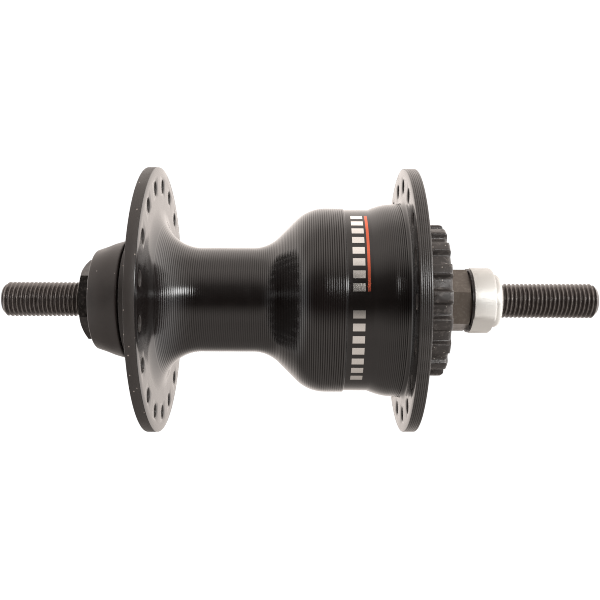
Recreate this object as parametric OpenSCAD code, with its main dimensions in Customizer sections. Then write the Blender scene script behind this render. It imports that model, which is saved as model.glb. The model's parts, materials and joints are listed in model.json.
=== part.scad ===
// Front bicycle hub for a splined roller brake, with a plate clutch that limits the brake's torque.
// The axle lies along X with the brake on the +X side, and +Z is up. Millimetres.
// The origin is on the axle's centre line, midway between its ends.
// Every turned outline below is a list of [x, radius] points.

/* [Axle] */
// Length of the axle
axle_len = 137; // [134:0.5:142]
// Diameter over the thread
axle_d = 7.94; // [7.8:0.01:8]
// Pitch of the axle's thread (26 to the inch)
thread_pitch = 0.977; // [0.9:0.001:1.25]
// Chamfer at each end of the axle
axle_chamfer = 0.9; // [0.4:0.1:1.2]

/* [Nuts] */
// Width across the flats of the left locknut
locknut_af = 16; // [15:0.5:17]
// Outer face of the left locknut
locknut_x = -49.5; // [-50.5:0.1:-49]
// Thickness of the left locknut
locknut_w = 2.8; // [2.5:0.1:2.8]
// Width across the flats of the right cone's hexagon
cone_hex_af = 12.8; // [12:0.1:13]
// Length of the right cone's hexagon
cone_hex_w = 6.3; // [6:0.1:6.3]
// Diameter of the brake fixing nut
brake_nut_d = 15.1; // [14.5:0.1:16]
// Width across the brake fixing nut's two spanner flats
brake_nut_af = 13; // [12.5:0.1:14]
// Diameter of the brake fixing nut's collar
brake_collar_d = 12.3; // [11:0.1:12.5]

/* [Shell] */
// Diameter of the left spoke flange
flange_left_d = 60.8; // [60:0.1:62]
// Diameter of the right spoke flange
flange_right_d = 60.4; // [60:0.1:62]
// Thickness of the left spoke flange
flange_left_w = 2.4; // [2.2:0.1:2.5]
// Thickness of the right spoke flange
flange_right_w = 2.6; // [2.4:0.1:2.7]
// Number of spoke holes in each flange
spoke_count = 18; // [14:1:20]
// Diameter of the circle through the spoke holes
spoke_circle_d = 52.4; // [51.5:0.1:54]
// Diameter of a spoke hole
spoke_hole_d = 2.9; // [2.4:0.1:3]
// Diameter of the neck
neck_d = 24.1; // [23.5:0.1:25]
// Diameter of the barrel before its smooth band
barrel_d = 42.4; // [42:0.1:43]
// Diameter of the smooth band
band_d = 41.7; // [41.4:0.1:42]

/* [Brake boss] */
// Number of teeth on the brake boss
boss_teeth = 18; // [16:1:20]
// Diameter over the teeth
boss_tip_d = 35; // [34.6:0.1:35.6]
// Diameter at the bottom of the teeth
boss_root_d = 32.4; // [32.2:0.1:32.8]
// Width of a tooth at its tip
tooth_w = 2.6; // [2.2:0.1:3]

/* [Bearings] */
// Diameter of a ball
ball_d = 4.762; // [4.7:0.001:4.77]
// Number of balls in each bearing
ball_count = 9; // [7:1:9]
// Diameter of the circle through the ball centres
ball_circle_d = 16.8; // [16.6:0.1:17]

/* [Clutch] */
// Number of outer plates, and of inner plates
plate_pairs = 3; // [3:1:3]
// Thickness of an outer plate
outer_plate_w = 1.2; // [1:0.1:1.2]
// Thickness of an inner plate
inner_plate_w = 1.4; // [1.2:0.1:1.4]
// Thickness of the pressure plate
pressure_plate_w = 2; // [1.6:0.1:2]

/* [Hidden] */
$fn = 72;

through = 0.5;          // how far a cutter runs past the face it cuts
thread_gap = 0.03;      // radial gap between the axle and each piece threaded on it
race_gap = 0.03;        // gap between a ball and each race
press_gap = 0.02;       // radial gap of a pressed ring in its seat
face_gap = 0.05;        // gap between two clutch pieces that slide on each other
run_gap = 0.05;         // radial gap of the boss in its bush

axle_r = axle_d / 2;
core_r = axle_r - 0.325 * thread_pitch; // the thread's pitch radius, which stands for it inside a nut
thread_r = core_r + thread_gap;
ball_r = ball_d / 2;
ball_circle_r = ball_circle_d / 2;
race_r = ball_r + race_gap;

// Bearings: places along the axle of the two rings of balls, and the common seat of cup and seal
left_ball_x = -36.4;
right_ball_x = 27.4;
cup_r = 12.2;
cup_in = 3.1;           // reach of a cup from the ball centres towards the hub's middle
cup_out = 2.5;          // reach of a cup from the ball centres towards the fork
seal_w = 0.5;
seal_bore_r = 8.75;
cone_nose_r = 6;
cone_shoulder_r = 8.4;
cone_shoulder_out = 3.8;
cone_grip_r = 7.2;

// Shell
boss_left_x = left_ball_x - cup_out - seal_w;
boss_left_r = 13.6;
flange_left_x = -34.4;
flange_right_x = 25.9;
flange_edge = 0.15;     // chamfer round each flange
neck_r = neck_d / 2;
barrel_r = barrel_d / 2;
band_r = band_d / 2;
left_fillet_r = 9.4;
neck_end_x = -10.8;
shoulder_in_r = 8.4;    // concave arc from the neck into the shoulder
shoulder_out_r = 9.4;   // convex arc from the shoulder into the barrel
band_x = [9.8, 15.3];
swell_x = 20.5;         // where the barrel has its full size again
swell_r = 22.15;
foot_r = 22.35;         // barrel at the foot of the right flange
foot_fillet_r = 0.9;
cavity_r = 18.6;
cavity_x = 5.2;
cavity_floor_r = 16;
neck_bore_r = 9.2;
lug_slot_w = 4;
lug_slot_r = 19.6;
lugs = 6;
spoke_phase = 0.7;      // turn of the spoke holes towards -Y, in degrees
flange_inner_x = flange_left_x + flange_left_w;
flange_right_in = flange_right_x - flange_right_w;
left_fillet_x = flange_inner_x + left_fillet_r;

// The shoulder's straight 45 degree stretch, between its two arcs: its height and where it ends
shoulder_rise = barrel_r - neck_r - (shoulder_in_r + shoulder_out_r) * (1 - cos(45));
shoulder_x = neck_end_x + shoulder_in_r * sin(45) + shoulder_rise;

// Clutch: each pair is an outer plate and an inner plate
pair_w = outer_plate_w + inner_plate_w + 2 * face_gap;
pressure_x = cavity_x + face_gap + plate_pairs * pair_w;
spring_x = pressure_x + pressure_plate_w + face_gap;
spring_w = 1;
spring_rise = 0.8;
spring_in_r = 14.2;
spring_out_r = 18.2;
seat_x = spring_x + 2 * (spring_w + spring_rise) + 2 * face_gap;
groove_x = [20.1, 21.4];
plate_out_r = 18.4;
plate_lug_r = 19.4;
plate_lug_w = 3.8;
plate_bore_r = 13.5;
key_count = 8;
key_w = 2.8;
key_r = 12.1;

// Brake boss
sleeve_x = 6;
sleeve_r = 13;
sleeve_bore_r = 10.2;
key_slot_w = 3;
key_slot_r = 12;
key_slot_x = 20.4;
journal_x = 21.5;
spline_x = [26.3, 32.55];
boss_root_r = boss_root_d / 2;
boss_tip_r = boss_tip_d / 2;
boss_face_r = 14.6;
boss_recess = 1.1;
tooth_base_w = 3.3;
tooth_phase = 2.6;      // turn of one tooth from -Y towards +Z, in degrees
tooth_end = 0.7;        // bevel at the free ends of the teeth
bush_x = [21.6, 24.9];
dust_seal_x = [25, 25.8];

// Nuts and washers on the axle
washer_left_w = 1;
cap_x = locknut_x + locknut_w;
cone_hex_x = 32.3;
cone_end_x = cone_hex_x + cone_hex_w;
washer_right_w = 0.5;
brake_nut_x = cone_end_x + washer_right_w;
brake_nut_w = 5.1;
brake_collar_w = 1.85;
brake_nut_end = brake_nut_x + brake_nut_w + brake_collar_w;
locknut_turn = -5;      // turn of each nut's flats from -Y towards -Z, in degrees
cone_hex_turn = 15.5;
brake_nut_turn = 62.6;
hex_corner = 2 / sqrt(3);
nut_mouth_r = 4.3;      // countersink at the outer mouth of each nut's bore
nut_mouth_w = 0.6;

// Points of an arc about [x, r], from angle a to angle b, measured from +X outwards
function arc(x, r, rad, a, b, n = 8) =
    [for (i = [0:n]) let (t = a + (b - a) * i / n) [x + rad * cos(t), r + rad * sin(t)]];

// A turned solid about the axle from an outline of [x, radius] points
module turned(outline) {
    rotate([0, 90, 0]) rotate_extrude() polygon([for (p = outline) [p[1], p[0]]]);
}

// A flat outline drawn square to the axle, from x to x + w
module across(x, w) {
    translate([x, 0, 0]) rotate([0, 90, 0]) linear_extrude(w) children();
}

// A plain ring about the axle
module ring(x, w, outer_r, bore_r) {
    across(x, w) difference() {
        circle(outer_r);
        circle(bore_r);
    }
}

// A copy of the children at each of n even steps about the axle
module around(n, start = 0) {
    for (i = [0:n - 1]) rotate([start + 360 * i / n, 0, 0]) children();
}

// Puts a bearing piece, drawn with its balls at x = 0 and the fork at +X, at its place
module bearing_at(x, side) {
    if (side < 0) translate([x, 0, 0]) mirror([1, 0, 0]) children();
    else translate([x, 0, 0]) children();
}

module cup() {
    turned(concat([[cup_out, cup_r - press_gap], [cup_out, ball_circle_r + race_r]],
        arc(0, ball_circle_r, race_r, 85, 175),
        [[-cup_in, ball_circle_r + 0.2], [-cup_in, cup_r - press_gap]]));
}

module seal() {
    ring(cup_out, seal_w, cup_r - press_gap, seal_bore_r);
}

// Outline of a cone from its nose to the outer face of its shoulder
cone_front = concat([[-3, thread_r], [-3, cone_nose_r - 0.4], [-2.6, cone_nose_r]],
    arc(0, ball_circle_r, race_r, -85, -5),
    [[2.4, cone_shoulder_r], [cone_shoulder_out, cone_shoulder_r]]);

module balls() {
    around(ball_count) translate([0, 0, ball_circle_r]) sphere(ball_r);
}

// A ring behind the balls with a finger between each two
module retainer() {
    finger_w = 3;
    difference() {
        union() {
            ring(-2.9, 0.9, 8.2, 6.4);
            around(ball_count, 180 / ball_count) {
                translate([-2.1, -finger_w / 2, 6.9]) cube([0.6, finger_w, 1.2]);
                translate([-1.7, -finger_w / 2, 7.5]) cube([2.4, finger_w, 1.5]);
            }
        }
        around(ball_count) translate([0, 0, ball_circle_r]) sphere(ball_r + 0.05);
    }
}

// Full thread diameter outside the nuts, pitch diameter between their outer faces
module axle() {
    half = axle_len / 2;
    root_r = axle_r - axle_chamfer;
    color("dimgray") turned([[-half, 0], [-half, root_r], [-half + axle_chamfer, axle_r],
        [locknut_x, axle_r], [locknut_x, core_r], [brake_nut_end, core_r], [brake_nut_end, axle_r],
        [half - axle_chamfer, axle_r], [half, root_r], [half, 0]]);
}

// Cuts the bore of a nut that is w long and has its outer face at x, where side is the way that it faces
module nut_bore(x, w, side) {
    translate([x, 0, 0]) mirror([side < 0 ? 1 : 0, 0, 0]) turned([[through, 0], [through, nut_mouth_r],
        [0, nut_mouth_r], [-nut_mouth_w, thread_r], [-w - through, thread_r], [-w - through, 0]]);
}

module left_locknut() {
    color("black") difference() {
        across(locknut_x, locknut_w) rotate(locknut_turn) circle(locknut_af / 2 * hex_corner, $fn = 6);
        nut_bore(locknut_x, locknut_w, -1);
    }
}

module left_lock_washer() {
    color("dimgray") ring(cap_x, washer_left_w, 7.6, thread_r);
}

module left_cone() {
    grip_end = left_ball_x - cap_x - washer_left_w;
    color("gray") bearing_at(left_ball_x, -1) difference() {
        turned(concat(cone_front, [[cone_shoulder_out, cone_grip_r], [grip_end, cone_grip_r],
            [grip_end, thread_r]]));
        for (s = [-1, 1]) translate([cone_shoulder_out + 2, s * (cone_grip_r + 1.3) - 2, -cone_grip_r])
            cube([2.2, 4, 2 * cone_grip_r]);
    }
}

module left_dust_cap() {
    web_x = cap_x + 2.1;
    open_x = boss_left_x - 0.2;
    color([0.2, 0.19, 0.18]) turned([[cap_x, 8], [cap_x, 10.9], [cap_x + 0.35, 11.5],
        [open_x - 0.5, 13.65], [open_x, 13.75], [open_x, 12.6], [web_x, 11], [web_x, cone_grip_r + 0.02],
        [cap_x + washer_left_w, cone_grip_r + 0.02], [cap_x + washer_left_w, 8]]);
}

module right_cone() {
    shoulder_x = right_ball_x + cone_shoulder_out;
    hex_r = cone_hex_af / 2 * hex_corner;
    color([0.22, 0.2, 0.18]) union() {
        bearing_at(right_ball_x, 1) turned(concat(cone_front, [[cone_shoulder_out, thread_r]]));
        ring(shoulder_x, cone_hex_x - shoulder_x, cone_hex_af / 2, thread_r);
        difference() {
            across(cone_hex_x, cone_hex_w) rotate(cone_hex_turn) circle(hex_r, $fn = 6);
            ring(cone_hex_x - through, cone_hex_w + 2 * through, thread_r, 0);
        }
    }
}

module right_lock_washer() {
    color("black") ring(cone_end_x, washer_right_w, 7.4, thread_r);
}

module brake_fixing_nut() {
    r = brake_nut_d / 2;
    color("silver") difference() {
        union() {
            across(brake_nut_x, brake_nut_w) intersection() {
                circle(r);
                rotate(brake_nut_turn) square([2 * r + 1, brake_nut_af], center = true);
            }
            ring(brake_nut_x + brake_nut_w, brake_collar_w, brake_collar_d / 2, 0);
        }
        nut_bore(brake_nut_end, brake_nut_w + brake_collar_w, 1);
    }
}

shell_outside = concat(
    [[boss_left_x, boss_left_r], [flange_left_x, boss_left_r]],
    [[flange_left_x, flange_left_d / 2 - flange_edge], [flange_left_x + flange_edge, flange_left_d / 2]],
    [[flange_inner_x - flange_edge, flange_left_d / 2], [flange_inner_x, flange_left_d / 2 - flange_edge]],
    arc(left_fillet_x, neck_r + left_fillet_r, left_fillet_r, 180, 270, 12),
    arc(neck_end_x, neck_r + shoulder_in_r, shoulder_in_r, 270, 315, 6),
    arc(shoulder_x + shoulder_out_r * sin(45), barrel_r - shoulder_out_r, shoulder_out_r, 135, 90, 6),
    [[band_x[0], barrel_r], [band_x[0], band_r], [band_x[1], band_r]],
    [for (i = [1:6]) [band_x[1] + (swell_x - band_x[1]) * i / 6,
        band_r + (swell_r - band_r) * sin(90 * i / 6)]],
    arc(flange_right_in - foot_fillet_r, foot_r + foot_fillet_r, foot_fillet_r, 270, 360, 5),
    [[flange_right_in, flange_right_d / 2 - flange_edge], [flange_right_in + flange_edge, flange_right_d / 2]],
    [[flange_right_x - flange_edge, flange_right_d / 2], [flange_right_x, flange_right_d / 2 - flange_edge]]);

shell_inside = [[flange_right_x, cavity_r], [groove_x[1], cavity_r], [groove_x[1], lug_slot_r],
    [groove_x[0], lug_slot_r], [groove_x[0], cavity_r], [cavity_x, cavity_r], [cavity_x, cavity_floor_r],
    [-1, 11], [-8, neck_bore_r], [left_ball_x + cup_in, neck_bore_r], [left_ball_x + cup_in, cup_r],
    [boss_left_x, cup_r]];

module spoke_holes(x, w, phase) {
    around(spoke_count, phase) translate([0, 0, spoke_circle_d / 2])
        ring(x - through, w + 2 * through, spoke_hole_d / 2, 0);
}

module hub_shell() {
    slot_len = groove_x[0] - cavity_x;
    color([0.06, 0.06, 0.06]) difference() {
        turned(concat(shell_outside, shell_inside));
        spoke_holes(flange_left_x, flange_left_w, spoke_phase);
        spoke_holes(flange_right_in, flange_right_w, spoke_phase + 180 / spoke_count);
        around(lugs) intersection() {
            translate([cavity_x, -lug_slot_w / 2, cavity_r - 1]) cube([slot_len, lug_slot_w, 3]);
            ring(cavity_x, slot_len, lug_slot_r, cavity_r - 0.8);
        }
    }
}

module left_cup() {
    color("gray") bearing_at(left_ball_x, -1) cup();
}

module left_seal() {
    color("black") bearing_at(left_ball_x, -1) seal();
}

// A clutch plate keyed to the shell by lugs on its rim
module lugged_plate(x, w) {
    across(x, w) difference() {
        union() {
            circle(plate_out_r);
            intersection() {
                circle(plate_lug_r);
                for (i = [0:lugs / 2 - 1]) rotate(i * 360 / lugs)
                    square([2 * plate_lug_r + 1, plate_lug_w], center = true);
            }
        }
        circle(plate_bore_r);
    }
}

// A clutch plate keyed to the boss by keys in its bore
module keyed_plate(x, w) {
    across(x, w) difference() {
        circle(18);
        difference() {
            circle(sleeve_r + 0.1);
            difference() {
                for (i = [0:key_count / 2 - 1]) rotate(i * 360 / key_count)
                    square([2 * sleeve_r + 1, key_w], center = true);
                circle(key_r);
            }
        }
    }
}

module outer_plate(i) {
    color("lightgray") lugged_plate(cavity_x + face_gap + (i - 1) * pair_w, outer_plate_w);
}

module inner_plate(i) {
    x = cavity_x + face_gap + (i - 1) * pair_w + outer_plate_w + face_gap;
    color("peru") keyed_plate(x, inner_plate_w);
}

module pressure_plate() {
    color("gray") lugged_plate(pressure_x, pressure_plate_w);
}

module disc_spring(x, first) {
    rise = first ? [spring_rise, 0] : [0, spring_rise];
    color("lightsteelblue") turned([[x + rise[0], spring_in_r], [x + rise[1], spring_out_r],
        [x + rise[1] + spring_w, spring_out_r], [x + rise[0] + spring_w, spring_in_r]]);
}

module spring_seat() {
    color("gray") ring(seat_x, groove_x[0] - seat_x, cavity_r - 0.1, 14);
}

module retaining_ring() {
    gap_w = 5;
    x = groove_x[0] + face_gap;
    w = groove_x[1] - groove_x[0] - 2 * face_gap;
    color("dimgray") difference() {
        ring(x, w, lug_slot_r - 0.05, 17);
        translate([x - through, -gap_w / 2, 10]) cube([w + 2 * through, gap_w, 12]);
    }
}

module boss_bush() {
    color("goldenrod") ring(bush_x[0], bush_x[1] - bush_x[0], cavity_r - press_gap, boss_root_r + run_gap);
}

module boss_dust_seal() {
    color("black") ring(dust_seal_x[0], dust_seal_x[1] - dust_seal_x[0], cavity_r - press_gap,
        boss_root_r + 0.3);
}

// The toothed outline that carries the brake
module toothed_outline() {
    intersection() {
        circle(boss_tip_r);
        union() {
            circle(boss_root_r);
            for (i = [0:boss_teeth - 1]) rotate(-90 - tooth_phase + 360 * i / boss_teeth)
                polygon([[boss_root_r - 1, -tooth_base_w / 2], [boss_tip_r + 0.3, -tooth_w / 2],
                    [boss_tip_r + 0.3, tooth_w / 2], [boss_root_r - 1, tooth_base_w / 2]]);
        }
    }
}

module brake_boss() {
    boss_bore = [[spline_x[1], boss_face_r], [spline_x[1] - boss_recess, boss_face_r - boss_recess],
        [spline_x[1] - boss_recess, cup_r], [right_ball_x - cup_in, cup_r],
        [right_ball_x - cup_in, sleeve_bore_r], [sleeve_x, sleeve_bore_r]];
    color([0.1, 0.1, 0.1]) difference() {
        union() {
            turned(concat([[sleeve_x, sleeve_r], [journal_x, sleeve_r], [journal_x, boss_root_r],
                [spline_x[1], boss_root_r]], boss_bore));
            intersection() {
                across(spline_x[0], spline_x[1] - spline_x[0]) difference() {
                    toothed_outline();
                    circle(boss_face_r + 0.8);
                }
                turned([[spline_x[0], 0], [spline_x[0], boss_tip_r + 1],
                    [spline_x[1] - tooth_end, boss_tip_r], [spline_x[1], boss_tip_r - tooth_end],
                    [spline_x[1], 0]]);
            }
        }
        around(key_count) intersection() {
            translate([sleeve_x - through, -key_slot_w / 2, key_slot_r - 1])
                cube([key_slot_x - sleeve_x + through, key_slot_w, 3]);
            ring(sleeve_x - through, key_slot_x - sleeve_x + through, sleeve_r + 1, key_slot_r);
        }
    }
}

module right_cup() {
    color("gray") bearing_at(right_ball_x, 1) cup();
}

module right_seal() {
    color("black") bearing_at(right_ball_x, 1) seal();
}

module left_balls() {
    color("silver") bearing_at(left_ball_x, -1) balls();
}

module left_retainer() {
    color("dimgray") bearing_at(left_ball_x, -1) retainer();
}

module right_balls() {
    color("silver") bearing_at(right_ball_x, 1) balls();
}

module right_retainer() {
    color("dimgray") bearing_at(right_ball_x, 1) retainer();
}

axle();
left_locknut();
left_lock_washer();
left_cone();
left_dust_cap();
right_cone();
right_lock_washer();
brake_fixing_nut();
hub_shell();
left_cup();
left_seal();
outer_plate(1);  // outer_plate_1
outer_plate(2);  // outer_plate_2
outer_plate(3);  // outer_plate_3
pressure_plate();
disc_spring(spring_x, true);  // disc_spring_1
disc_spring(spring_x + spring_w + spring_rise + face_gap, false);  // disc_spring_2
spring_seat();
retaining_ring();
boss_bush();
boss_dust_seal();
brake_boss();
inner_plate(1);  // inner_plate_1
inner_plate(2);  // inner_plate_2
inner_plate(3);  // inner_plate_3
right_cup();
right_seal();
left_balls();
left_retainer();
right_balls();
right_retainer();
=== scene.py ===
import json
import math

import bmesh
import bpy
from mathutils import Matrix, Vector


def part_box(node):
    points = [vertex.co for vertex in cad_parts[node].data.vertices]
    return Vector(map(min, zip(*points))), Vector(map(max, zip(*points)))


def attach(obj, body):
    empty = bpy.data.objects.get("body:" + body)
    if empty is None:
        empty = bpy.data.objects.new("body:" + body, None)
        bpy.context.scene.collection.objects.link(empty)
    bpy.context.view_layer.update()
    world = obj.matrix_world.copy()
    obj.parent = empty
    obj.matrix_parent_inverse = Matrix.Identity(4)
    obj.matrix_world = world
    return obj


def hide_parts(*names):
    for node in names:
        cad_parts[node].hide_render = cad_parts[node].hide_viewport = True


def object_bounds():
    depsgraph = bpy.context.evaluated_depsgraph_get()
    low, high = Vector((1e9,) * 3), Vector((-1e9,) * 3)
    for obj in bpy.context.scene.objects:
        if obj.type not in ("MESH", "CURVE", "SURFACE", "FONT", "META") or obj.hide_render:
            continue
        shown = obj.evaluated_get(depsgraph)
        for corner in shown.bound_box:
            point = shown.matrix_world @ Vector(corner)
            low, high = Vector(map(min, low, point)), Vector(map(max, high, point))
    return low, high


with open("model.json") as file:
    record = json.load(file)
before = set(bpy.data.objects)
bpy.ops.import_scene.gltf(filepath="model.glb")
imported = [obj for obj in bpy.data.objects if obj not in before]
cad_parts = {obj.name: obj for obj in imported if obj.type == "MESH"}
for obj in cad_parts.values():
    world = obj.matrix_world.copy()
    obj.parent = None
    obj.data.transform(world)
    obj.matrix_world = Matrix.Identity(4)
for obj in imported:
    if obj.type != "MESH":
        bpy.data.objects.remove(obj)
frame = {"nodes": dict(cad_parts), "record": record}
cad_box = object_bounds()

# The hub lies along X with the brake at +X. An angle round the axle is in degrees, from -Y, the side that
# the camera is on, towards +Z. Sizes are in millimetres, and points become metres where a mesh is made.
MM = 0.001


def span(node):
    """The two ends of a CAD node along the axle, in millimetres."""
    low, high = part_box(node)
    return low.x / MM, high.x / MM


def reach(node):
    """How far a CAD node reaches above the axle's centre line, in millimetres."""
    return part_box(node)[1].z / MM


def even_angles(count, first=0.0):
    """So many angles evenly round the axle."""
    return [first + 360.0 * i / count for i in range(count)]


# Sizes -------------------------------------------------------------------------------------------------
AXLE_X, AXLE_R = span("axle"), reach("axle")
THREAD_PITCH = 0.977
THREAD_DEPTH = 0.55
TIP_CHAMFER, CENTRE_DRILL_R = 0.9, 1.15
CORE_R, BORE_R = 3.36, 3.42     # the axle inside the nuts, and the bore of what is threaded on it
LOCKNUT_X, LOCKNUT_AF, LOCKNUT_FLAT = span("left_locknut"), 16.0, 5.0
CAP_X = span("left_dust_cap")
CONE_END_X, CONE_HEX_X, CONE_AF, CONE_FLAT = span("right_cone")[1], 32.3, 12.8, -15.5
WASHER_X, WASHER_R = span("right_lock_washer"), reach("right_lock_washer")
BRAKE_NUT_X, BRAKE_NUT_R, BRAKE_NUT_AF, BRAKE_NUT_FLAT = span("brake_fixing_nut"), 7.55, 13.0, -62.6
COLLAR_X, COLLAR_R = 44.2, 6.15

SHELL_X = span("hub_shell")
FLANGE_LEFT_X, FLANGE_RIGHT_X = (-34.4, -32.0), (23.3, 25.9)
FLANGE_LEFT_R, FLANGE_RIGHT_R = 30.4, 30.2
SPOKES, SPOKE_CIRCLE_R, SPOKE_R, SPOKE_ANGLE = 18, 26.2, 1.45, 89.3
NECK_R, NECK_END_X = 12.05, -10.8
FILLET_R = 9.4
SHOULDER_IN_R, SHOULDER_OUT_R, SHOULDER_SLOPE, BARREL_R = 8.4, 9.4, 45, 21.2
BAND_X, BAND_R = (9.8, 15.3), 20.85
SWELL_X, SWELL_R, SWELL_SMOOTH, FOOT_R, FOOT_FILLET_R = 20.5, 22.15, 1.2, 22.35, 0.9
RIM_RINGS, RIM_RING_PITCH = 5, 0.39
GROOVE_PITCH, SWELL_GROOVE_PITCH = 0.485, 0.41
# Along the axle: where, how deep the turned grooves are, and how strongly they show as light and dark lines
GROOVE_DEPTHS = [(-31.6, 0.0), (-30.4, 0.045), (-23.5, 0.045), (-20, 0.014), (-8, 0.018), (9.5, 0.02),
                 (16, 0.008), (23, 0.03)]
GROOVE_MARKS = [(-31.6, 0.1), (-30.6, 0.7), (-23, 0.7), (-20, 0.45), (-12, 0.4), (-8, 0.7), (0, 0.85),
                (9.5, 1.0), (16, 0.1), (19, 0.4), (22, 1.0)]

RACE_R, BALL_CIRCLE_R, RIGHT_BALL_X, CUP_R = 2.411, 8.4, 27.4, 12.2
SHELL_BORE_R, LEFT_CUP_X, LIP_R = 9.2, -33.3, 13.6
CAVITY_X, CAVITY_R, SLOT_R, RING_GROOVE_X = (5.2, 20.1), 18.6, 19.6, 21.4
PLATE_LUGS, PLATE_KEYS = 6, 8
BOSS_X, BOSS_TEETH, BOSS_TOOTH_ANGLE = span("brake_boss"), 18, 2.6
BOSS_TIP_R, BOSS_ROOT_R, BOSS_TEETH_X, BOSS_BASE_X = 17.5, 16.2, 26.3, 21.5
BOSS_BORE_R, RIGHT_CUP_X = 10.2, 24.3
SLEEVE_R, SLEEVE_SLOT_R, SLEEVE_SLOT_END_X, SLEEVE_END_X = 13.0, 12.0, 20.4, 21.45

DASH_X, DASH_PITCH, DASH_ANGLE = (10.95, 13.6), 7.6, 4.6
STRIPE_X, STRIPE_ANGLES = (14.0, 14.65), (5, 63)

# The flanges' faces are rows and columns of quads. Each spoke hole is cut in a square block of them.
HOLE_COLUMNS, BLOCK, BLOCK_HALF_HEIGHT = 8, 6, 2.3
SHELL_COLUMNS = SPOKES * HOLE_COLUMNS
WELD, SLIVER = 2e-7, 1e-7     # metres: points this close become one, and edges this short go
IN_GLOSS, IN_MATT, IN_RINGS = 0, 1, 2     # the shell's material slots


# Meshes ------------------------------------------------------------------------------------------------
def point(x, r, angle):
    """The place, in metres, at x along the axle, r out from it and an angle round it."""
    a = math.radians(angle)
    return Vector((x, -r * math.cos(a), r * math.sin(a))) * MM


def arc(x, r, rad, a, b, n):
    """Points [x, r] of an arc about (x, r), from angle a to angle b, measured from +X outwards."""
    turns = [math.radians(a + (b - a) * i / n) for i in range(n + 1)]
    return [(x + rad * math.cos(t), r + rad * math.sin(t)) for t in turns]


def place_rows(bm, rows, angles):
    """A vertex for each row and angle. A row is (x, radius), or a function that gives (x, radius, angle)."""
    made = []
    for row in rows:
        place = row if callable(row) else (lambda a, row=row: (row[0], row[1], a))
        made.append([bm.verts.new(point(*place(a))) for a in angles])
    return made


def join_rows(bm, made, closed=True, finishes=None, skip=()):
    """Quads between neighbouring rows, but for those in skip. finishes gives each strip's material."""
    count, columns = len(made), len(made[0])
    for i in range(count if closed else count - 1):
        below, above = made[i], made[(i + 1) % count]
        for j in range(columns):
            if (i, j) in skip:
                continue
            k = (j + 1) % columns
            face = bm.faces.new((below[j], below[k], above[k], above[j]))
            face.material_index = finishes[i] if finishes else 0


def turned(bm, rows, angles=None, closed=True):
    """A turned form about the axle, from an outline that is a closed loop unless it is said to be open."""
    join_rows(bm, place_rows(bm, rows, angles or even_angles(72)), closed)


def piece(name, bm, body, materials, nodes=(), sharp=35):
    """Makes a bmesh into a named piece that rides on a body and stands for these CAD nodes."""
    bmesh.ops.remove_doubles(bm, verts=bm.verts, dist=WELD)
    bmesh.ops.dissolve_degenerate(bm, edges=bm.edges, dist=SLIVER)
    bmesh.ops.delete(bm, geom=[v for v in bm.verts if not v.link_faces], context="VERTS")
    bmesh.ops.recalc_face_normals(bm, faces=bm.faces)
    mesh = bpy.data.meshes.new(name)
    bm.to_mesh(mesh)
    bm.free()
    mesh.shade_smooth()
    mesh.set_sharp_from_angle(angle=math.radians(sharp))
    for material in materials:
        mesh.materials.append(material)
    made = bpy.data.objects.new(name, mesh)
    bpy.context.scene.collection.objects.link(made)
    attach(made, body)
    if nodes:
        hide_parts(*nodes)


def between(stops, at):
    """The value at a place from (place, value) stops, in straight lines between them."""
    for (a, low), (b, high) in zip(stops, stops[1:]):
        if at <= b:
            return low + (high - low) * min(max((at - a) / (b - a), 0.0), 1.0)
    return stops[-1][1]


def hexagon(af, flat):
    """Radius of a hexagon at an angle, where flat is the angle of the middle of one of its flats."""
    return lambda a: af / 2 / math.cos(math.radians((a - flat + 30) % 60 - 30))


def chamfered(x, inwards, radius_at, corner_r, slope):
    """A row where a chamfer cone that starts at corner_r on the face at x meets the outline."""
    def place(a):
        r = radius_at(a)
        return x + inwards * max(0.0, r - corner_r) * slope, r, a
    return place


# Materials ---------------------------------------------------------------------------------------------
def add_node(tree, kind, links=None, values=None, **settings):
    """Adds a node with these settings, values by socket, and links by socket from other nodes' outputs."""
    made = tree.nodes.new("ShaderNode" + kind)
    for key, value in settings.items():
        setattr(made, key, value)
    for key, value in (values or {}).items():
        made.inputs[key].default_value = value
    for key, source in (links or {}).items():
        tree.links.new(source, made.inputs[key])
    return made


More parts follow.
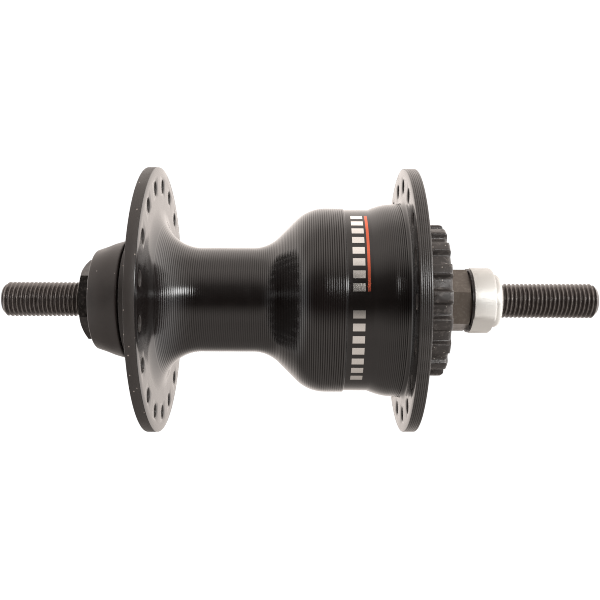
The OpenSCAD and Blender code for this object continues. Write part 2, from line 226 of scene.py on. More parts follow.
class Finish:
    """A procedural material on one Principled shader, with helpers for its nodes."""

    def __init__(self, name, metallic=0.0, ior=1.5):
        self.material = bpy.data.materials.new(name)
        self.material.use_nodes = True
        self.tree = self.material.node_tree
        self.shader = self.tree.nodes["Principled BSDF"]
        self.shader.inputs["Metallic"].default_value = metallic
        self.shader.inputs["IOR"].default_value = ior

    def node(self, kind, links=None, values=None, **settings):
        return add_node(self.tree, kind, links, values, **settings)

    def math(self, operation, a, b=0.0):
        """Arithmetic on numbers or nodes' outputs."""
        made = self.node("Math", operation=operation)
        for index, value in enumerate((a, b)):
            if isinstance(value, (int, float)):
                made.inputs[index].default_value = value
            else:
                self.tree.links.new(value, made.inputs[index])
        return made.outputs[0]

    def place(self):
        """Where a point is, in metres, on its own piece."""
        return self.node("TexCoord").outputs["Object"]

    def round_axle(self, along=1.0, outward=1.0, round_it=0.0):
        """Coordinates (along the axle, out from it, round it), in millimetres, for turned marks."""
        split = self.node("SeparateXYZ", {0: self.place()})
        x, y, z = split.outputs
        r = self.math("SQRT", self.math("ADD", self.math("MULTIPLY", y, y), self.math("MULTIPLY", z, z)))
        angle = self.math("ARCTAN2", z, y)
        joined = self.node("CombineXYZ", {
            0: self.math("MULTIPLY", x, along / MM),
            1: self.math("MULTIPLY", r, outward / MM),
            2: self.math("MULTIPLY", angle, round_it)})
        return joined.outputs[0]

    def noise(self, scale, detail=3.0, vector=None):
        """Noise with about scale features to a metre, or to a millimetre of round_axle coordinates."""
        source = vector or self.place()
        made = self.node("TexNoise", {"Vector": source}, {"Scale": scale, "Detail": detail})
        return made.outputs["Fac"]

    def specks(self, scale, size):
        """1 in small scattered specks, 0 elsewhere."""
        made = self.node("TexVoronoi", {"Vector": self.place()}, {"Scale": scale})
        return self.ramp(made.outputs["Distance"], (size * 0.6, 1.0), (size, 0.0))

    def stretch(self, fac, low, high, to_low=0.0, to_high=1.0):
        """A value between low and high, spread over another range. Sockets 1 to 4 are the four ends."""
        return self.node("MapRange", {0: fac}, {1: low, 2: high, 3: to_low, 4: to_high}).outputs[0]

    def ramp(self, fac, *stops):
        """A grey level from (position, value) stops."""
        made = self.node("ValToRGB", {0: fac})
        self.set_stops(made, [(at, (v, v, v, 1)) for at, v in stops])
        return made.outputs[0]

    @staticmethod
    def set_stops(ramp, stops):
        """Gives a ramp its (position, colour) stops."""
        elements = ramp.color_ramp.elements
        while len(elements) < len(stops):
            elements.new(1.0)
        for element, (at, colour) in zip(elements, stops):
            element.position = at
            element.color = colour

    def mix(self, fac, a, b):
        """The colour a where fac is 0 and b where it is 1."""
        made = self.node("Mix", data_type="RGBA")
        self.tree.links.new(fac, made.inputs["Factor"])
        for key, value in ((6, a), (7, b)):     # the node's colour sockets
            if isinstance(value, tuple):
                made.inputs[key].default_value = (*value, 1)
            else:
                self.tree.links.new(value, made.inputs[key])
        return made.outputs[2]

    def colour(self, source):
        self.tree.links.new(source, self.shader.inputs["Base Color"])

    def rough(self, fac, low, high):
        """Roughness from low to high as a noise goes over the middle of its range."""
        self.tree.links.new(self.stretch(fac, 0.3, 0.7, low, high), self.shader.inputs["Roughness"])

    def lined(self, low, high):
        """Shine from the mesh's groove marks: low in a groove (-1), high on a crest (1)."""
        marks = self.node("Attribute", attribute_name="groove").outputs["Fac"]
        level = self.stretch(marks, -1.0, 1.0, low, high)
        self.tree.links.new(level, self.shader.inputs["Specular IOR Level"])

    def bump(self, *layers):
        """Stacked bumps from (height, depth in millimetres) layers."""
        normal = None
        for height, depth in layers:
            made = self.node("Bump", {"Height": height}, {"Strength": 1.0, "Distance": depth * MM})
            if normal:
                self.tree.links.new(normal, made.inputs["Normal"])
            normal = made.outputs[0]
        self.tree.links.new(normal, self.shader.inputs["Normal"])


def anodised(name):
    """Black dyed oxide on turned aluminium: a dark gloss with very fine feed marks and a little haze."""
    f = Finish(name, ior=1.62)
    haze = f.noise(260, 4)
    marks = f.noise(9.0, 2, f.round_axle(1, 1, 0.25))
    f.colour(f.mix(haze, (0.0055, 0.004, 0.0038), (0.009, 0.007, 0.0065)))
    f.rough(haze, 0.13, 0.2)
    f.lined(0.0, 1.0)
    f.bump((marks, 0.0018), (f.noise(1800, 2), 0.0006))
    return f.material


def blasted(name):
    """The same oxide on a blasted surface: matt, with pale specks of dust."""
    f = Finish(name, ior=1.5)
    grain = f.noise(2600, 4)
    patches = f.noise(190, 3)
    specks = f.specks(640, 0.12)
    dark = f.mix(patches, (0.028, 0.024, 0.022), (0.046, 0.04, 0.037))
    f.colour(f.mix(specks, dark, (0.32, 0.28, 0.25)))
    f.rough(patches, 0.42, 0.55)
    f.bump((grain, 0.012))
    return f.material


def ringed(name):
    """Black oxide with fine turned lines across a rim."""
    f = Finish(name, ior=1.6)
    patches = f.noise(240, 3)
    f.colour(f.mix(patches, (0.018, 0.016, 0.015), (0.032, 0.028, 0.026)))
    f.rough(patches, 0.24, 0.34)
    f.lined(0.0, 1.0)
    f.bump((f.noise(7.0, 2, f.round_axle(1, 0.2, 0.4)), 0.003), (f.noise(2400, 3), 0.002))
    return f.material


def rubber(name):
    """Moulded rubber: matt, warm dark grey, faintly mottled, with dust."""
    f = Finish(name, ior=1.4)
    mottle = f.noise(300, 5)
    specks = f.specks(330, 0.06)
    dark = f.mix(mottle, (0.028, 0.023, 0.021), (0.047, 0.039, 0.0355))
    f.colour(f.mix(specks, dark, (0.2, 0.175, 0.16)))
    f.rough(mottle, 0.32, 0.42)
    f.bump((f.noise(3200, 4), 0.01), (mottle, 0.03))
    return f.material


def black_oxide(name, base, worn, low, high, ior=1.7):
    """Blackened steel, a little oily, worn brighter in fine patches."""
    f = Finish(name, metallic=0.35, ior=ior)
    patches = f.noise(520, 5)
    wear = f.ramp(f.noise(1500, 5), (0.5, 0.0), (0.72, 1.0))
    f.colour(f.mix(wear, f.mix(patches, base, tuple(c * 1.6 for c in base)), worn))
    f.rough(patches, low, high)
    f.bump((f.noise(2800, 4), 0.008), (patches, 0.02))
    return f.material


def thread_oxide(name):
    """Blackened thread: oily dark flanks, and crests rubbed brighter."""
    f = Finish(name, metallic=0.5, ior=1.7)
    patches = f.noise(620, 4)
    out = f.node("SeparateXYZ", {0: f.round_axle()}).outputs[1]
    crest = f.stretch(out, AXLE_R - 0.3, AXLE_R - 0.04)
    rubbed = f.math("MULTIPLY", crest, f.ramp(f.noise(900, 4), (0.3, 0.55), (0.65, 1.0)))
    dark = f.mix(patches, (0.042, 0.033, 0.03), (0.07, 0.058, 0.053))
    f.colour(f.mix(rubbed, dark, (0.17, 0.15, 0.138)))
    f.rough(patches, 0.24, 0.38)
    f.bump((f.noise(2800, 4), 0.006), (patches, 0.012))
    return f.material


def boss_black(name):
    """Black finish on the toothed ring, with dust in it and rubbed patches."""
    f = Finish(name, metallic=0.15, ior=1.6)
    patches = f.noise(420, 5)
    rubbed = f.ramp(f.noise(1100, 6), (0.54, 0.0), (0.7, 1.0))
    specks = f.specks(700, 0.11)
    dark = f.mix(patches, (0.022, 0.018, 0.017), (0.05, 0.043, 0.039))
    f.colour(f.mix(specks, f.mix(rubbed, dark, (0.11, 0.098, 0.09)), (0.42, 0.38, 0.34)))
    f.rough(f.noise(900, 4), 0.24, 0.5)
    f.bump((f.noise(1900, 5), 0.03), (patches, 0.05))
    return f.material


def bright_plate(name):
    """Bright plated steel, turned in fine rings, with painted shade that makes its upper side darker."""
    f = Finish(name, metallic=0.55, ior=1.5)
    rings = f.noise(6.0, 3, f.round_axle(1, 1, 0.5))
    cloud = f.noise(520, 4)
    streaks = f.noise(1.6, 3, f.round_axle(0.12, 1, 9.0))
    # Painted shade: both colours below darken towards the nut's upper side, by height on the piece; streaks
    # mix a clean and a stained copy
    up = f.node("SeparateXYZ", {0: f.place()}).outputs[2]
    high = f.stretch(up, -BRAKE_NUT_R * MM, 0.7 * BRAKE_NUT_R * MM)
    clean_with_painted_shade = f.mix(high, (0.98, 0.97, 0.93), (0.56, 0.555, 0.53))
    stained_with_painted_shade = f.mix(high, (0.9, 0.88, 0.84), (0.5, 0.49, 0.46))
    f.colour(f.mix(f.math("MULTIPLY", streaks, cloud), clean_with_painted_shade, stained_with_painted_shade))
    f.rough(cloud, 0.4, 0.52)
    f.bump((rings, 0.006), (f.noise(2400, 3), 0.003))
    return f.material


def turned_metal(name, colour, low, high, mark_depth=0.006):
    """Turned bare metal: fine rings round the axle and a broken sheen."""
    f = Finish(name, metallic=1.0)
    rings = f.noise(6.0, 3, f.round_axle(1, 1, 0.6))
    cloud = f.noise(420, 4)
    f.colour(f.mix(cloud, tuple(c * 0.86 for c in colour), colour))
    f.rough(cloud, low, high)
    f.bump((rings, mark_depth), (f.noise(2400, 3), 0.003))
    return f.material


def band_ink(name, colour, glint):
    """Printing ink with a little metal flake in it."""
    f = Finish(name, metallic=glint, ior=1.5)
    flake = f.noise(5200, 2)
    f.colour(f.mix(flake, tuple(c * 0.8 for c in colour), colour))
    f.rough(flake, 0.09, 0.15)
    f.bump((flake, 0.0003))
    return f.material


GLOSS = anodised("black_gloss_oxide")
MATT = blasted("black_matt_oxide")
RING = ringed("black_ringed_oxide")
CAP = rubber("cap_rubber")
THREAD = thread_oxide("black_thread_oxide")
BLACK = black_oxide("black_steel_oxide", (0.014, 0.0118, 0.0108), (0.07, 0.062, 0.056), 0.26, 0.4,
                    ior=1.5)
BROWN = black_oxide("brown_steel_oxide", (0.08, 0.065, 0.052), (0.15, 0.128, 0.105), 0.3, 0.42)
SILVER = bright_plate("bright_plated_steel")
BOSS = boss_black("brake_boss_black")
PALE_INK = band_ink("pale_band_ink", (0.95, 0.93, 0.89), 0.95)
WARM_INK = band_ink("warm_band_ink", (0.82, 0.18, 0.1), 0.95)


# Pieces ------------------------------------------------------------------------------------------------
def axle_piece():
    """The solid axle with a real helical thread on both exposed ends."""
    columns, tip_r, cover = 64, AXLE_R - TIP_CHAMFER, 1.6
    angles = even_angles(columns)
    crest, root = AXLE_R, AXLE_R - THREAD_DEPTH
    # One thread as (share of the pitch, radius), from a crest to just before the next
    wave = [(0, crest), (0.07, crest - 0.015), (0.2, crest - 0.2), (0.4, root + 0.05), (0.5, root),
            (0.6, root + 0.05), (0.8, crest - 0.2), (0.93, crest - 0.015)]
    steps = len(wave)
    bm = bmesh.new()
    for end, inner in ((AXLE_X[0], LOCKNUT_X[0] + cover), (AXLE_X[1], BRAKE_NUT_X[1] - cover)):
        low, high = min(end, inner), max(end, inner)
        turns = math.ceil((high - low) / THREAD_PITCH) + 3
        made = []
        for i in range(turns * steps):
            row = []
            for j, angle in enumerate(angles):
                raw = low + THREAD_PITCH * (i // steps - 1 + wave[i % steps][0] + j / columns)
                x = min(max(raw, low), high)
                limit = min(tip_r + abs(x - end), CORE_R + abs(x - inner) * 2)
                row.append(bm.verts.new(point(x, min(wave[i % steps][1], limit), angle)))
            made.append(row)
        for i in range(len(made) - steps - 1):
            for j in range(columns):
                # The last column joins the first one, a whole thread further on
                k, row = (j + 1, i) if j + 1 < columns else (0, i + steps)
                bm.faces.new((made[i][j], made[row][k], made[row + 1][k], made[i + 1][j]))
        inwards = math.copysign(1.0, inner - end)
        turned(bm, [(end, tip_r), (end, CENTRE_DRILL_R), (end + inwards * 0.25, CENTRE_DRILL_R - 0.25),
                    (end + inwards, 0.0)], angles, closed=False)
    turned(bm, [(LOCKNUT_X[0] + cover, CORE_R), (BRAKE_NUT_X[1] - cover, CORE_R)], angles, closed=False)
    piece("axle_threaded", bm, "axle_set", [THREAD], ["axle"], sharp=75)


def locknut_piece():
    """The plain left locknut, with both faces chamfered."""
    a, b = LOCKNUT_X
    edge = hexagon(LOCKNUT_AF, LOCKNUT_FLAT)
    corner_r = LOCKNUT_AF / 2 + 0.05
    bm = bmesh.new()
    turned(bm, [(a + 0.6, BORE_R), (a, 4.3), (a, corner_r - 0.3), (a + 0.03, corner_r - 0.12),
                chamfered(a + 0.08, 1, edge, corner_r, 0.36), chamfered(b - 0.1, -1, edge, corner_r, 0.5),
                (b, corner_r), (b, BORE_R)], even_angles(72, LOCKNUT_FLAT))
    piece("left_locknut_hexagon", bm, "axle_set", [BLACK], ["left_locknut"], sharp=28)


def dust_cap_piece():
    """The moulded cap over the left bearing: a hollow cone with rounded rims."""
    a, b = CAP_X
    grip_r = 7.22
    outline = ([(a, 8.0), (a, 10.6)] + arc(a + 0.55, 11.0, 0.55, 180, 112, 5)
               + [(a + 2.6, 12.27), (a + 4.4, 12.98), (b - 0.65, 13.56)]
               + arc(b - 0.3, 13.4, 0.3, 100, 10, 5) + [(b, 12.6), (a + 2.1, 11.0), (a + 2.1, grip_r),
                                                       (a + 1.0, grip_r), (a + 1.0, 8.0)])
    bm = bmesh.new()
    turned(bm, outline, even_angles(120))
    piece("left_dust_cap_moulded", bm, "axle_set", [CAP], ["left_dust_cap"])


def right_cone_piece():
    """The right cone: a ball race inside the boss, and the spanner's hexagon outside it."""
    a, b = CONE_HEX_X, CONE_END_X
    edge = hexagon(CONE_AF, CONE_FLAT)
    corner_r = CONE_AF / 2 + 0.1
    race = [(RIGHT_BALL_X - 3, BORE_R), (RIGHT_BALL_X - 3, 5.6), (RIGHT_BALL_X - 2.6, 6.0)]
    race += arc(RIGHT_BALL_X, BALL_CIRCLE_R, RACE_R, -85, -5, 10)
    race += [(RIGHT_BALL_X + 3.8, 8.4), (RIGHT_BALL_X + 3.8, CONE_AF / 2), (a, CONE_AF / 2)]
    hexed = [chamfered(a, 1, edge, corner_r, 0.5), chamfered(b - 0.02, -1, edge, corner_r, 0.35)]
    bm = bmesh.new()
    turned(bm, race + hexed + [(b, corner_r), (b, BORE_R)], even_angles(72, CONE_FLAT))
    piece("right_cone_hexagon", bm, "axle_set", [BROWN], ["right_cone"], sharp=28)


def right_washer_piece():
    """The thin washer between the cone and the brake nut, with its edges broken."""
    (a, b), r = WASHER_X, WASHER_R
    bm = bmesh.new()
    turned(bm, [(a, BORE_R), (a, r - 0.06), (a + 0.06, r), (b - 0.06, r), (b, r - 0.06), (b, BORE_R)])
    piece("right_lock_washer_edged", bm, "axle_set", [BLACK], ["right_lock_washer"])


def brake_nut_piece():
    """A turned nut with two spanner flats, and a smaller collar with a rounded end."""
    a, b = BRAKE_NUT_X
    flat = 2 * math.degrees(math.acos(BRAKE_NUT_AF / 2 / BRAKE_NUT_R))
    flat_steps, round_steps = 12, 24
    angles = []
    for side in (0, 180):
        start = BRAKE_NUT_FLAT + side - flat / 2
        angles += [start + flat * i / flat_steps for i in range(flat_steps)]
        angles += [start + flat + (180 - flat) * i / round_steps for i in range(round_steps)]

    def cut(x, r):
        def place(angle):
            away = math.cos(math.radians(angle - BRAKE_NUT_FLAT))
            return x, min(r, BRAKE_NUT_AF / 2 / max(abs(away), 1e-6)), angle
        return place

    outline = [(a, BORE_R), (a, 6.45), cut(a, 7.3), cut(a + 0.05, 7.45), cut(a + 0.15, BRAKE_NUT_R)]
    outline += [cut(COLLAR_X - 0.55, BRAKE_NUT_R), cut(COLLAR_X - 0.2, 7.38), cut(COLLAR_X, 7.0)]
    outline += [(COLLAR_X, COLLAR_R + 0.12), (COLLAR_X + 0.12, COLLAR_R), (b - 1.3, COLLAR_R)]
    outline += arc(b - 1.3, COLLAR_R - 1.3, 1.3, 80, 5, 8) + [(b, COLLAR_R - 1.6), (b, 4.3)]
    outline += [(b - 0.6, BORE_R)]
    bm = bmesh.new()
    turned(bm, outline, angles)
    piece("brake_fixing_nut_turned", bm, "axle_set", [SILVER], ["brake_fixing_nut"])


def grooved(points, pitch):
    """The line with turned grooves cut square to it, as (point, groove mark): four points to a groove."""
    lengths = [0.0]
    for p, q in zip(points, points[1:]):
        lengths.append(lengths[-1] + math.dist(p, q))
    count = round(lengths[-1] / pitch) * 4
    made, seg = [], 0
    for i in range(count + 1):
        along = lengths[-1] * i / count
        while seg < len(points) - 2 and lengths[seg + 1] < along:
            seg += 1
        (x0, r0), (x1, r1) = points[seg], points[seg + 1]
        run = lengths[seg + 1] - lengths[seg]
        t = (along - lengths[seg]) / run
        x = x0 + (x1 - x0) * t
        cut = between(GROOVE_DEPTHS, x) * (0.0, 0.75, 1.0, 0.75)[i % 4]
        mark = between(GROOVE_MARKS, x) * (1.0, 0.0, -1.0, 0.0)[i % 4]
        made.append(((x + cut * (r1 - r0) / run, r0 + (r1 - r0) * t - cut * (x1 - x0) / run), mark))
    return made


def shell_outline():
    """Rows of the shell as (row, groove mark, finish of the strip after it), and where hole rows start."""
    gloss, matt, ring = IN_GLOSS, IN_MATT, IN_RINGS
    hole_rows = [SPOKE_CIRCLE_R + BLOCK_HALF_HEIGHT * (2 * i / BLOCK - 1) for i in range(BLOCK + 1)]
    rows, holes = [], {}

    def add(points, finish, mark=0.0):
        rows.extend((p, mark, finish) for p in points)

    (la, lb), (ra, rb) = FLANGE_LEFT_X, FLANGE_RIGHT_X
    add([(SHELL_X[0], LIP_R - 0.4), (SHELL_X[0] + 0.12, LIP_R - 0.1), (SHELL_X[0] + 0.4, LIP_R)], matt)
    add([(la - 0.8, LIP_R)] + arc(la - 0.8, LIP_R + 0.8, 0.8, 285, 345, 4), matt)
    add([(la, LIP_R + 0.8), (la, 18), (la, 21.5)], matt)
    holes["left_out"] = len(rows)
    add([(la, r) for r in hole_rows], matt)
    add([(la, FLANGE_LEFT_R - 0.16), (la + 0.05, FLANGE_LEFT_R - 0.05), (la + 0.16, FLANGE_LEFT_R)], matt)
    add([(lb - 0.16, FLANGE_LEFT_R)], gloss)
    add([(lb - 0.05, FLANGE_LEFT_R - 0.05), (lb, FLANGE_LEFT_R - 0.16)], gloss)
    holes["left_in"] = len(rows)
    add([(lb, r) for r in reversed(hole_rows)], gloss)

    fillet = arc(lb + FILLET_R, NECK_R + FILLET_R, FILLET_R, 180, 270, 60)
    smooth = [p for p in fillet if p[0] < lb + 1.0]
    add([(lb, 22.8)] + smooth[:-1], gloss)
    slope = math.radians(SHOULDER_SLOPE)
    rise = BARREL_R - NECK_R - (SHOULDER_IN_R + SHOULDER_OUT_R) * (1 - math.cos(slope))
    shoulder_x = NECK_END_X + SHOULDER_IN_R * math.sin(slope) + rise / math.tan(slope)
    line = [p for p in fillet if p[0] >= smooth[-1][0]]
    line += arc(NECK_END_X, NECK_R + SHOULDER_IN_R, SHOULDER_IN_R, 270, 270 + SHOULDER_SLOPE, 24)
    line += arc(shoulder_x + SHOULDER_OUT_R * math.sin(slope), BARREL_R - SHOULDER_OUT_R, SHOULDER_OUT_R,
                90 + SHOULDER_SLOPE, 90, 30)
    line += [(BAND_X[0] - 0.35, BARREL_R)]
    rows.extend((p, mark, gloss) for p, mark in grooved(line, GROOVE_PITCH))
    add(arc(BAND_X[0] - 0.25, BARREL_R - 0.25, 0.25, 80, 5, 4), gloss)
    add([(BAND_X[0], BAND_R + 0.03), (BAND_X[0] + 0.05, BAND_R), (BAND_X[0] + 0.3, BAND_R)], gloss)
    add([(BAND_X[1], BAND_R)], gloss)

    def swell(x):
        part = math.radians(90 * (x - BAND_X[1]) / (SWELL_X - BAND_X[1]))
        return x, BAND_R + (SWELL_R - BAND_R) * math.sin(part)

    add([swell(BAND_X[1] + 0.1 * i) for i in range(1, 12)], gloss)
    foot_x = ra - FOOT_FILLET_R
    start = BAND_X[1] + SWELL_SMOOTH
    line = [swell(start + (SWELL_X - start) * i / 24) for i in range(25)]
    line += [(foot_x, FOOT_R)]
    rows.extend((p, mark, gloss) for p, mark in grooved(line, SWELL_GROOVE_PITCH))
    add(arc(foot_x, FOOT_R + FOOT_FILLET_R, FOOT_FILLET_R, 280, 360, 8)[:-1], gloss)
    holes["right_in"] = len(rows)
    add([(ra, r) for r in hole_rows], gloss)
    add([(ra, FLANGE_RIGHT_R - 0.15), (ra + 0.05, FLANGE_RIGHT_R - 0.04), (ra + 0.15, FLANGE_RIGHT_R)], ring)
    for i in range(RIM_RINGS):
        x = ra + 0.55 + RIM_RING_PITCH * i
        add([(x - 0.13, FLANGE_RIGHT_R)], ring, 0.1 + 0.1 * i)
        add([(x, FLANGE_RIGHT_R - 0.06)], ring, -1.0)
        add([(x + 0.13, FLANGE_RIGHT_R)], ring, 0.2 + 0.1 * i)
    add([(rb - 0.16, FLANGE_RIGHT_R)], ring, 0.6)
    add([(rb - 0.05, FLANGE_RIGHT_R - 0.05), (rb, FLANGE_RIGHT_R - 0.16)], ring)
    holes["right_out"] = len(rows)
    add([(rb, r) for r in reversed(hole_rows)], matt)
    add([(rb, 21), (rb, CAVITY_R + 0.3), (rb - 0.3, CAVITY_R), (RING_GROOVE_X, CAVITY_R)], gloss)
    add([(RING_GROOVE_X, SLOT_R), (CAVITY_X[1], SLOT_R), slotted(CAVITY_X[1]), slotted(CAVITY_X[0])], gloss)
    add([(CAVITY_X[0], 16), (-1, 11), (-8, SHELL_BORE_R), (LEFT_CUP_X, SHELL_BORE_R)], gloss)
    add([(LEFT_CUP_X, CUP_R), (SHELL_X[0] + 0.3, CUP_R)], gloss)
    add([(SHELL_X[0], CUP_R + 0.3)], matt)
    return rows, holes


def slotted(x):
    """A row of the clutch's cavity: wider in the slots for the plates' lugs."""
    pitch = 360 / PLATE_LUGS
    half_slot, half_floor, wall = 5, 3, 6.1

    def place(angle):
        shifted = angle + 90 - SPOKE_ANGLE + 180 / SHELL_COLUMNS
        off = (shifted - 90 + pitch / 2) % pitch - pitch / 2
        if abs(off) > half_slot:
            return x, CAVITY_R, shifted
        turn = math.copysign(wall - abs(off), off) if abs(off) > half_floor else 0.0
        return x, SLOT_R, shifted + turn
    return place


def spoke_hole(bm, made, near, far, column, x_near, x_far, centre_angle):
    """Cuts one round, chamfered hole through a flange between two blocks of quads.

    near and far are the rows of the two faces, both from the axle outwards."""
    half, count = BLOCK // 2, BLOCK * 4
    around = [(0, c) for c in range(-half, half)] + [(k, half) for k in range(BLOCK)]
    around += [(BLOCK, c) for c in range(half, -half, -1)] + [(k, -half) for k in range(BLOCK, 0, -1)]
    centre = point(0, SPOKE_CIRCLE_R, centre_angle)
    outward = point(0, 1, centre_angle)
    sideways = point(0, 1, centre_angle + 90)
    inwards = math.copysign(1.0, x_far - x_near)

    def ring(x, r):
        made_ring = []
        for i in range(count):
            t = math.radians(225 + 360 * i / count)
            spot = centre + sideways * (r * math.cos(t)) + outward * (r * math.sin(t))
            made_ring.append(bm.verts.new(spot + Vector((x * MM, 0, 0))))
        return made_ring

    loops = [[made[near[k]][(column + c) % SHELL_COLUMNS] for k, c in around],
             ring(x_near, SPOKE_R + 0.28), ring(x_near + inwards * 0.1, SPOKE_R + 0.08),
             ring(x_near + inwards * 0.3, SPOKE_R), ring(x_far - inwards * 0.3, SPOKE_R),
             ring(x_far - inwards * 0.1, SPOKE_R + 0.08), ring(x_far, SPOKE_R + 0.28),
             [made[far[k]][(column + c) % SHELL_COLUMNS] for k, c in around]]
    glossy = len(loops) - 2 if x_near < 0 else 0
    for number, (below, above) in enumerate(zip(loops, loops[1:])):
        for i in range(count):
            k = (i + 1) % count
            face = bm.faces.new((below[i], below[k], above[k], above[i]))
            face.material_index = IN_GLOSS if number == glossy else IN_MATT


def shell_piece():
    """The shell: neck, barrel and both flanges with their spoke holes, turned grooves and clutch cavity."""
    angles = even_angles(SHELL_COLUMNS, SPOKE_ANGLE)
    rows, holes = shell_outline()
    bm = bmesh.new()
    groove = bm.verts.layers.float.new("groove")
    made = place_rows(bm, [row for row, _, _ in rows], angles)
    for verts, (_, mark, _) in zip(made, rows):
        for vert in verts:
            vert[groove] = mark
    # Each flange's near and far face, its place, and its first hole's column: half a step on at the right
    flanges = (("left_out", "left_in", FLANGE_LEFT_X, 0),
               ("right_in", "right_out", FLANGE_RIGHT_X, HOLE_COLUMNS // 2))
    skip = set()
    for near_name, far_name, _, first in flanges:
        for c in range(first, SHELL_COLUMNS + first, HOLE_COLUMNS):
            skip |= {(start + k, (c + d) % SHELL_COLUMNS) for start in (holes[near_name], holes[far_name])
                     for k in range(BLOCK) for d in range(-BLOCK // 2, BLOCK // 2)}
    join_rows(bm, made, True, [finish for _, _, finish in rows], skip)
    for near_name, far_name, (a, b), first in flanges:
        near = [holes[near_name] + k for k in range(BLOCK + 1)]
        far = [holes[far_name] + BLOCK - k for k in range(BLOCK + 1)]
        for c in range(first, SHELL_COLUMNS + first, HOLE_COLUMNS):
            spoke_hole(bm, made, near, far, c, a, b, angles[c % SHELL_COLUMNS])
    piece("hub_shell_turned", bm, "shell", [GLOSS, MATT, RING], ["hub_shell"], sharp=38)


def boss_piece():
    """The toothed ring that carries the brake, and the slotted sleeve that carries the inner plates."""
    pitch, width_r = 360.0 / BOSS_TEETH, 17.0
    # Half a tooth as (distance from its middle in millimetres at width_r, share of the tooth's height)
    half = [(0.0, 1.0), (0.45, 1.0), (0.8, 0.995), (1.05, 0.96), (1.22, 0.86), (1.36, 0.6), (1.5, 0.3),
            (1.66, 0.1), (1.9, 0.0), (2.4, 0.0)]
    shape = [(-u, h) for u, h in reversed(half[1:])] + half
    angles, heights = [], []
    for tooth in range(BOSS_TEETH):
        for u, h in shape:
            angles.append(BOSS_TOOTH_ANGLE + pitch * tooth + math.degrees(u / width_r))
            heights.append(h)
    height_at = dict(zip(angles, heights))

    def toothed(x, tip_r=BOSS_TIP_R, root_r=BOSS_ROOT_R):
        def place(angle):
            return x, min(root_r + (BOSS_TIP_R - root_r) * height_at[angle], tip_r), angle
        return place

    end, face_r, recess = BOSS_X[1], 14.6, 1.1
    outline = [(BOSS_BASE_X, BOSS_BORE_R), (RIGHT_CUP_X, BOSS_BORE_R), (RIGHT_CUP_X, CUP_R),
               (end - recess, CUP_R), (end - recess, 13.3), (end - recess + 0.15, 13.6),
               (end - 0.12, face_r - 0.1), (end, face_r + 0.1), (end, 15.6)]
    outline += [toothed(end, 16.7, 15.65), toothed(end - 0.06, 17.05, 15.75), toothed(end - 0.2, 17.28, 15.9),
                toothed(end - 0.45, 17.44, 16.08), toothed(end - 0.85), toothed(BOSS_TEETH_X + 3.1),
                toothed(BOSS_TEETH_X + 0.35), toothed(BOSS_TEETH_X + 0.1, 17.35),
                toothed(BOSS_TEETH_X, 17.1), (BOSS_TEETH_X, BOSS_ROOT_R), (BOSS_BASE_X, BOSS_ROOT_R),
                (BOSS_BASE_X, SLEEVE_R)]
    bm = bmesh.new()
    turned(bm, outline, angles)

    sleeve_angles = [90 + 360 * k / PLATE_KEYS + d for k in range(PLATE_KEYS)
                     for d in (-20, -14, -10, -6.6, -5, -2.5, 0, 2.5, 5, 6.6, 10, 14, 20)]
    turned(bm, [(BOSS_X[0], BOSS_BORE_R), keyed_row(BOSS_X[0]), keyed_row(SLEEVE_SLOT_END_X),
                (SLEEVE_SLOT_END_X, SLEEVE_R), (SLEEVE_END_X, SLEEVE_R), (SLEEVE_END_X, BOSS_BORE_R)],
           sleeve_angles)
    piece("brake_boss_toothed", bm, "brake_drive", [BOSS], ["brake_boss"], sharp=40)


def keyed_row(x):
    """A row of the boss's sleeve: cut back in the key slots."""
    pitch = 360 / PLATE_KEYS
    half_slot, half_floor, spread = 6, 4, 1.5

    def place(angle):
        off = (angle - 90 + pitch / 2) % pitch - pitch / 2
        if abs(off) > half_slot:
            return x, SLEEVE_R, angle
        return x, SLEEVE_SLOT_R, angle + math.copysign(spread, off) * (abs(off) > half_floor)
    return place


def band_marks():
    """Generic printing on the smooth band: a row of even dashes and a thin stripe beside it."""
    lift, sink, bevel = 0.03, 0.02, 0.04

    def strip(bm, x0, x1, a0, a1, n):
        rows = [(x0, BAND_R - sink), (x0 + bevel, BAND_R + lift), (x1 - bevel, BAND_R + lift),
                (x1, BAND_R - sink)]
        made = place_rows(bm, rows, [a0 + (a1 - a0) * i / n for i in range(n + 1)])
        for i in range(4):
            below, above = made[i], made[(i + 1) % 4]
            for j in range(n):
                bm.faces.new((below[j], below[j + 1], above[j + 1], above[j]))
        for column in (0, n):
            bm.faces.new([row[column] for row in made])

    dashes = bmesh.new()
    for first, count in ((-56, 7), (5, 8)):
        for k in range(count):
            low = first + DASH_PITCH * k
            strip(dashes, *DASH_X, low, low + DASH_ANGLE, 5)
    piece("band_dashes", dashes, "shell", [PALE_INK])
    stripe = bmesh.new()
    strip(stripe, *STRIPE_X, *STRIPE_ANGLES, 40)
    piece("band_stripe", stripe, "shell", [WARM_INK])


def other_nodes():
    """Finishes for the CAD nodes that are shown as they are, by the record's slot."""
    by_slot = {
        "black_steel": BLACK, "seal_rubber": rubber("seal_rubber"),
        "bearing_steel": turned_metal("bearing_steel", (0.6, 0.58, 0.55), 0.2, 0.32),
        "ball_steel": turned_metal("ball_steel", (0.78, 0.77, 0.75), 0.06, 0.12, mark_depth=0.0),
        "plain_steel": turned_metal("plain_steel", (0.46, 0.44, 0.41), 0.32, 0.48),
        "spring_steel": turned_metal("spring_steel", (0.3, 0.31, 0.34), 0.3, 0.42),
        "bronze": turned_metal("bronze", (0.62, 0.38, 0.17), 0.34, 0.5),
    }
    slot_of = {part["node"]: part["material_slot"] for part in frame["record"]["subparts"]}
    for name, node in frame["nodes"].items():
        if node.hide_render:
            continue
        node.data.materials.clear()
        node.data.materials.append(by_slot[slot_of[name]])


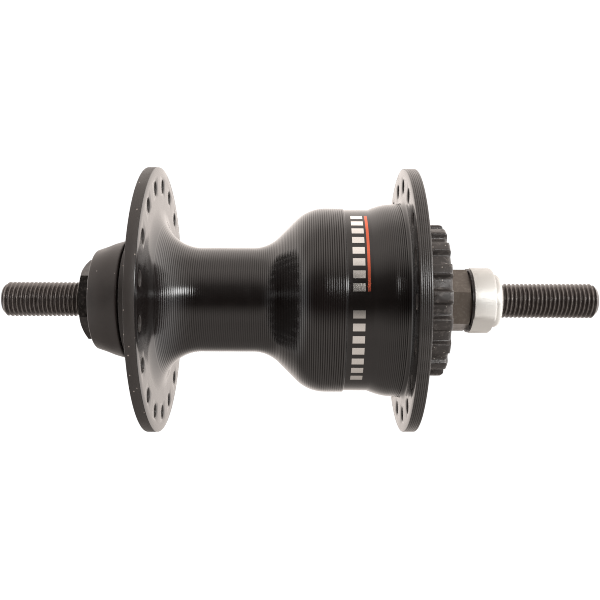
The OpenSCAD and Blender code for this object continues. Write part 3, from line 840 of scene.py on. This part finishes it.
# Light and camera --------------------------------------------------------------------------------------
TENT, STRIP_LIGHT, SIDE_LIGHT = 2.0, 9.0, 1.3     # strengths
TENT_TINT = (1.1, 1.0, 0.935, 1)
BACKDROP = 1.1      # how bright the camera sees the tent's wall and the floor: plain white, as in the photo
FLOOR_REACH = 2.0   # metres to each side
# Metres from the axle, degrees about the line of sight, and millimetres
CAMERA_DISTANCE, CAMERA_ROLL, LENS, SENSOR = 0.18, -0.2, 46.36, 36.0


def sky():
    """A white tent: light by direction round the axle, dark towards the camera and white behind the hub.

    To the right of the camera the dark part is lower, and a long strip light hangs just above it. Stops are
    (angle up from the camera's side, brightness)."""
    below = [(-180, 1.3), (-170, 1.12), (-158, 1.09), (-142, 0.5), (-126, 0.3), (-114, 0.36), (-98, 0.43),
             (-82, 0.52), (-54, 0.55), (-43, 0.6), (-32, 0.55), (-22, 0.33), (-11, 0.06), (0, 0.03)]
    above = [(66, 1.0), (78, 0.95), (94, 1.0), (112, 1.36), (138, 1.4), (156, 1.5), (170, 1.5), (180, 1.3)]
    left = below + [(9, 0.06), (20, 0.1), (30, 0.19), (41, 0.5), (53, 0.82)] + above
    right = below + [(7, 0.05), (11, 0.16), (17, 0.4), (24, 0.54), (41, 0.74), (53, 0.88)] + above
    strip = [(-180, 0.0), (12, 0.0), (14, 1.0), (24, 1.0), (27, 0.0), (180, 0.0)]
    world = bpy.data.worlds.new("tent")
    bpy.context.scene.world = world
    world.use_nodes = True
    tree = world.node_tree

    def node(kind, links=None, values=None, **settings):
        return add_node(tree, kind, links, values, **settings)

    def stretch(fac, low, high):
        return node("MapRange", {0: fac}, {1: low, 2: high}).outputs[0]

    def levels(share, stops, scale):
        ramp = node("ValToRGB", {0: share})
        Finish.set_stops(ramp, [((a + 180) / 360, (v / scale,) * 3 + (1,)) for a, v in stops])
        return ramp.outputs[0]

    # A direction in the world: x is how far it points to the right, z up, and -y towards the camera
    x, y, z = node("SeparateXYZ", {0: node("TexCoord").outputs["Generated"]}).outputs
    front = node("Math", {0: y}, {1: -1.0}, operation="MULTIPLY").outputs[0]
    angle = node("Math", {0: z, 1: front}, operation="ARCTAN2").outputs[0]
    share = stretch(angle, -math.pi, math.pi)
    tent = node("Mix", {0: stretch(x, 0.085, 0.1), 6: levels(share, left, 2), 7: levels(share, right, 2)},
                data_type="RGBA").outputs[2]
    tinted = node("Mix", {6: tent}, {0: 1.0, 7: TENT_TINT}, data_type="RGBA",
                  blend_type="MULTIPLY").outputs[2]
    lamp = node("Mix", {0: stretch(x, 0.17, 0.22), 7: levels(share, strip, 1)}, {6: (0, 0, 0, 1)},
                data_type="RGBA").outputs[2]
    at_right, at_left = stretch(x, 0.25, 1.0), stretch(x, -0.65, -1.0)
    outer = node("Math", {0: at_right, 1: at_left}, operation="MAXIMUM").outputs[0]
    side = node("Math", {0: outer}, {1: 1.5}, operation="POWER").outputs[0]

    base = tree.nodes["Background"]
    tree.links.new(tinted, base.inputs[0])
    base.inputs[1].default_value = TENT
    glow = node("Background", {0: lamp}, {1: STRIP_LIGHT})
    sides = node("Background", {0: side}, {1: SIDE_LIGHT})
    both = node("AddShader", {0: base.outputs[0], 1: glow.outputs[0]})
    every = node("AddShader", {0: both.outputs[0], 1: sides.outputs[0]})
    plain = node("Background", values={0: (1, 1, 1, 1), 1: BACKDROP})
    seen = node("MixShader", {0: node("LightPath").outputs["Is Camera Ray"], 1: every.outputs[0],
                              2: plain.outputs[0]})
    tree.links.new(seen.outputs[0], tree.nodes["World Output"].inputs[0])


def floor():
    """A plain pale floor under the flanges. It takes no part in the light on the hub, as in the photo."""
    material = bpy.data.materials.new("pale_floor")
    material.use_nodes = True
    tree = material.node_tree
    pale = add_node(tree, "Emission", values={"Strength": BACKDROP})
    tree.links.new(pale.outputs[0], tree.nodes["Material Output"].inputs[0])
    bm = bmesh.new()
    bmesh.ops.create_grid(bm, x_segments=1, y_segments=1, size=FLOOR_REACH)
    for vert in bm.verts:
        vert.co.z = cad_box[0].z
    mesh = bpy.data.meshes.new("floor")
    bm.to_mesh(mesh)
    bm.free()
    mesh.materials.append(material)
    made = bpy.data.objects.new("floor", mesh)
    bpy.context.scene.collection.objects.link(made)
    made.visible_diffuse = made.visible_glossy = made.visible_shadow = False


def camera():
    """The camera at the photo's viewing angle and distance, square on to the axle."""
    data = bpy.data.cameras.new("camera")
    data.lens, data.sensor_width = LENS, SENSOR
    data.clip_start, data.clip_end = 0.005, 20.0
    made = bpy.data.objects.new("camera", data)
    bpy.context.scene.collection.objects.link(made)
    made.location = (0.0, -CAMERA_DISTANCE, 0.0)
    made.rotation_euler = (math.radians(90), math.radians(CAMERA_ROLL), 0.0)
    bpy.context.scene.camera = made


axle_piece()
locknut_piece()
dust_cap_piece()
right_cone_piece()
right_washer_piece()
brake_nut_piece()
shell_piece()
boss_piece()
band_marks()
other_nodes()
sky()
floor()
camera()
bpy.context.scene.view_settings.view_transform = "Standard"
bpy.context.scene.cycles.use_denoising = True
bpy.context.scene.cycles.filter_width = 1.0
